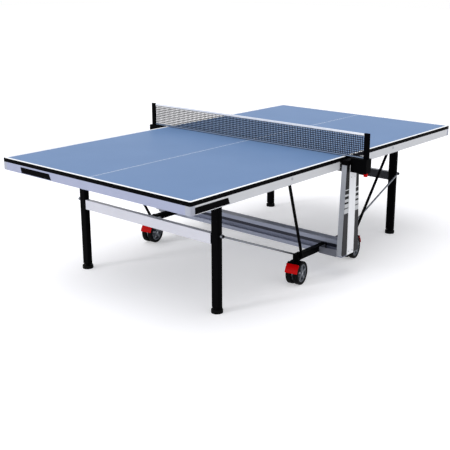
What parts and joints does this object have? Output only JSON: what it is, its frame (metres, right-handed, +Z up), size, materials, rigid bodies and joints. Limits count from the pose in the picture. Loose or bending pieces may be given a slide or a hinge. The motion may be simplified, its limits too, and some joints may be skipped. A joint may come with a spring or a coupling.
{
  "type": "ping pong table",
  "caption": "Folding ping pong table: split blue top on steel aprons and tube legs, over a central wheeled trolley with uprights, net, stay rods and braked twin-wheel casters.",
  "frame": {"origin": "on the floor under the middle of the net", "axes": "+X along the table to the far end, +Y along the net to the left of the picture, +Z up"},
  "size_m": [2.74, 1.83, 0.915],
  "materials": {
    "board": "matte",
    "edge_band": "satin",
    "apron_paint": "satin",
    "corner_cap": "satin",
    "black_plastic": "satin",
    "roller_nylon": "satin",
    "zinc_steel": "satin",
    "leg_paint": "satin",
    "foot_rubber": "matte",
    "beam_paint": "satin",
    "wing_paint": "satin",
    "trim_plastic": "satin",
    "upright_paint": "satin",
    "net_cord": "matte",
    "net_tape": "matte",
    "red_plastic": "gloss",
    "hub_plastic": "satin",
    "tyre_rubber": "matte"
  },
  "bodies": {
    "trolley": {"base_beam": "beam_paint", "wheel_arms": "leg_paint", "base_wings": "wing_paint", "upright_left": "upright_paint", "upright_right": "upright_paint", "upright_trims": "trim_plastic", "post_brackets": "black_plastic", "net_posts": "black_plastic", "net_mesh": "net_cord", "net_tapes": "net_tape"},
    "near_carriage": {"near_guide_rollers": "roller_nylon"},
    "near_half": {"near_panel": "board", "near_edge_band": "edge_band", "near_apron_end": "apron_paint", "near_apron_sides": "apron_paint", "near_corner_caps": "corner_cap", "near_cross_rails": "apron_paint", "near_guide_blocks": "black_plastic", "near_leg_brackets": "zinc_steel", "near_pivot_pins": "zinc_steel"},
    "near_legs": {"near_leg_tubes": "leg_paint", "near_leg_crossbar": "apron_paint"},
    "near_stays": {"near_stay_rods": "leg_paint"},
    "near_links": {"near_leg_links": "zinc_steel"},
    "near_left_foot": {"near_left_foot": "foot_rubber"},
    "near_left_caster": {"near_left_caster_fork": "black_plastic"},
    "near_left_caster_wheels": {"near_left_caster_hubs": "hub_plastic", "near_left_caster_tyres": "tyre_rubber"},
    "near_left_caster_brake": {"near_left_caster_pedal": "red_plastic"},
    "near_right_foot": {"near_right_foot": "foot_rubber"},
    "near_right_caster": {"near_right_caster_fork": "black_plastic"},
    "near_right_caster_wheels": {"near_right_caster_hubs": "hub_plastic", "near_right_caster_tyres": "tyre_rubber"},
    "near_right_caster_brake": {"near_right_caster_pedal": "red_plastic"},
    "far_carriage": {"far_guide_rollers": "roller_nylon"},
    "far_half": {"far_panel": "board", "far_edge_band": "edge_band", "far_apron_end": "apron_paint", "far_apron_sides": "apron_paint", "far_corner_caps": "corner_cap", "far_cross_rails": "apron_paint", "far_guide_blocks": "black_plastic", "far_leg_brackets": "zinc_steel", "far_pivot_pins": "zinc_steel"},
    "far_legs": {"far_leg_tubes": "leg_paint", "far_leg_crossbar": "apron_paint"},
    "far_stays": {"far_stay_rods": "leg_paint"},
    "far_links": {"far_leg_links": "zinc_steel"},
    "far_left_foot": {"far_left_foot": "foot_rubber"},
    "far_left_caster": {"far_left_caster_fork": "black_plastic"},
    "far_left_caster_wheels": {"far_left_caster_hubs": "hub_plastic", "far_left_caster_tyres": "tyre_rubber"},
    "far_left_caster_brake": {"far_left_caster_pedal": "red_plastic"},
    "far_right_foot": {"far_right_foot": "foot_rubber"},
    "far_right_caster": {"far_right_caster_fork": "black_plastic"},
    "far_right_caster_wheels": {"far_right_caster_hubs": "hub_plastic", "far_right_caster_tyres": "tyre_rubber"},
    "far_right_caster_brake": {"far_right_caster_pedal": "red_plastic"},
    "unlock_handle_left": {"unlock_handle_left": "red_plastic"},
    "unlock_handle_right": {"unlock_handle_right": "red_plastic"}
  },
  "joints": [
    {"name": "near_guide", "type": "slide", "parent": "trolley", "child": "near_carriage", "axis": [-0.0601, 0, -0.9982], "range_m": [0, 0.499]},
    {"name": "near_fold", "type": "hinge", "parent": "near_carriage", "child": "near_half", "pos_m": [-0.04, 0, 0.725], "axis": [0, 1, 0], "range_deg": [0, 90]},
    {"name": "near_leg_fold", "type": "hinge", "parent": "near_half", "child": "near_legs", "pos_m": [-0.948, 0, 0.703], "axis": [0, 1, 0], "range_deg": [-90, 0]},
    {"name": "near_stay_swing", "type": "hinge", "parent": "near_half", "child": "near_stays", "pos_m": [-0.555, 0, 0.723], "axis": [0, 1, 0], "range_deg": [-43.4, 0]},
    {"name": "near_link_swing", "type": "hinge", "parent": "near_legs", "child": "near_links", "pos_m": [-0.948, 0, 0.45], "axis": [0, 1, 0], "range_deg": [0, 81.1]},
    {"name": "near_left_level", "type": "slide", "parent": "near_legs", "child": "near_left_foot", "axis": [0, 0, 1], "range_m": [-0.012, 0]},
    {"name": "near_left_swivel", "type": "hinge", "parent": "trolley", "child": "near_left_caster", "pos_m": [-0.285, 0.625, 0.15], "axis": [0, 0, 1], "continuous": true},
    {"name": "near_left_roll", "type": "hinge", "parent": "near_left_caster", "child": "near_left_caster_wheels", "pos_m": [-0.30962, 0.62066, 0.0725], "axis": [-0.1736, 0.9848, 0], "continuous": true},
    {"name": "near_left_brake_press", "type": "hinge", "parent": "near_left_caster", "child": "near_left_caster_brake", "pos_m": [-0.34704, 0.61406, 0.0905], "axis": [0.1736, -0.9848, 0], "range_deg": [0, 8]},
    {"name": "near_right_level", "type": "slide", "parent": "near_legs", "child": "near_right_foot", "axis": [0, 0, 1], "range_m": [-0.012, 0]},
    {"name": "near_right_swivel", "type": "hinge", "parent": "trolley", "child": "near_right_caster", "pos_m": [-0.285, -0.625, 0.15], "axis": [0, 0, 1], "continuous": true},
    {"name": "near_right_roll", "type": "hinge", "parent": "near_right_caster", "child": "near_right_caster_wheels", "pos_m": [-0.30962, -0.62934, 0.0725], "axis": [-0.1736, 0.9848, 0], "continuous": true},
    {"name": "near_right_brake_press", "type": "hinge", "parent": "near_right_caster", "child": "near_right_caster_brake", "pos_m": [-0.34704, -0.63594, 0.0905], "axis": [0.1736, -0.9848, 0], "range_deg": [0, 8]},
    {"name": "far_guide", "type": "slide", "parent": "trolley", "child": "far_carriage", "axis": [0.0601, 0, -0.9982], "range_m": [0, 0.499]},
    {"name": "far_fold", "type": "hinge", "parent": "far_carriage", "child": "far_half", "pos_m": [0.04, 0, 0.725], "axis": [0, -1, 0], "range_deg": [0, 90]},
    {"name": "far_leg_fold", "type": "hinge", "parent": "far_half", "child": "far_legs", "pos_m": [0.948, 0, 0.703], "axis": [0, -1, 0], "range_deg": [-90, 0]},
    {"name": "far_stay_swing", "type": "hinge", "parent": "far_half", "child": "far_stays", "pos_m": [0.555, 0, 0.723], "axis": [0, -1, 0], "range_deg": [-43.4, 0]},
    {"name": "far_link_swing", "type": "hinge", "parent": "far_legs", "child": "far_links", "pos_m": [0.948, 0, 0.45], "axis": [0, -1, 0], "range_deg": [0, 81.1]},
    {"name": "far_left_level", "type": "slide", "parent": "far_legs", "child": "far_left_foot", "axis": [0, 0, 1], "range_m": [-0.012, 0]},
    {"name": "far_left_swivel", "type": "hinge", "parent": "trolley", "child": "far_left_caster", "pos_m": [0.285, 0.625, 0.15], "axis": [0, 0, 1], "continuous": true},
    {"name": "far_left_roll", "type": "hinge", "parent": "far_left_caster", "child": "far_left_caster_wheels", "pos_m": [0.30962, 0.62934, 0.0725], "axis": [-0.1736, 0.9848, 0], "continuous": true},
    {"name": "far_left_brake_press", "type": "hinge", "parent": "far_left_caster", "child": "far_left_caster_brake", "pos_m": [0.34704, 0.63594, 0.0905], "axis": [-0.1736, 0.9848, 0], "range_deg": [0, 8]},
    {"name": "far_right_level", "type": "slide", "parent": "far_legs", "child": "far_right_foot", "axis": [0, 0, 1], "range_m": [-0.012, 0]},
    {"name": "far_right_swivel", "type": "hinge", "parent": "trolley", "child": "far_right_caster", "pos_m": [0.285, -0.625, 0.15], "axis": [0, 0, 1], "continuous": true},
    {"name": "far_right_roll", "type": "hinge", "parent": "far_right_caster", "child": "far_right_caster_wheels", "pos_m": [0.30962, -0.62066, 0.0725], "axis": [-0.1736, 0.9848, 0], "continuous": true},
    {"name": "far_right_brake_press", "type": "hinge", "parent": "far_right_caster", "child": "far_right_caster_brake", "pos_m": [0.34704, -0.61406, 0.0905], "axis": [-0.1736, 0.9848, 0], "range_deg": [0, 8]},
    {"name": "unlock_pull_left", "type": "slide", "parent": "trolley", "child": "unlock_handle_left", "axis": [0, 0, -1], "range_m": [0, 0.015], "stiffness_N_per_m": 300, "springref_m": -0.005},
    {"name": "unlock_pull_right", "type": "slide", "parent": "trolley", "child": "unlock_handle_right", "axis": [0, 0, -1], "range_m": [0, 0.015], "stiffness_N_per_m": 300, "springref_m": -0.005}
  ],
  "couplings": [
    {"joint": "near_guide", "follows": "near_fold", "m_per_rad": 0.31761},
    {"joint": "near_leg_fold", "follows": "near_fold", "ratio": -1},
    {"joint": "near_stay_swing", "follows": "near_fold", "ratio": -0.48201},
    {"joint": "near_link_swing", "follows": "near_fold", "ratio": 0.90016},
    {"joint": "far_guide", "follows": "far_fold", "m_per_rad": 0.31761},
    {"joint": "far_leg_fold", "follows": "far_fold", "ratio": -1},
    {"joint": "far_stay_swing", "follows": "far_fold", "ratio": -0.48201},
    {"joint": "far_link_swing", "follows": "far_fold", "ratio": 0.90016}
  ]
}
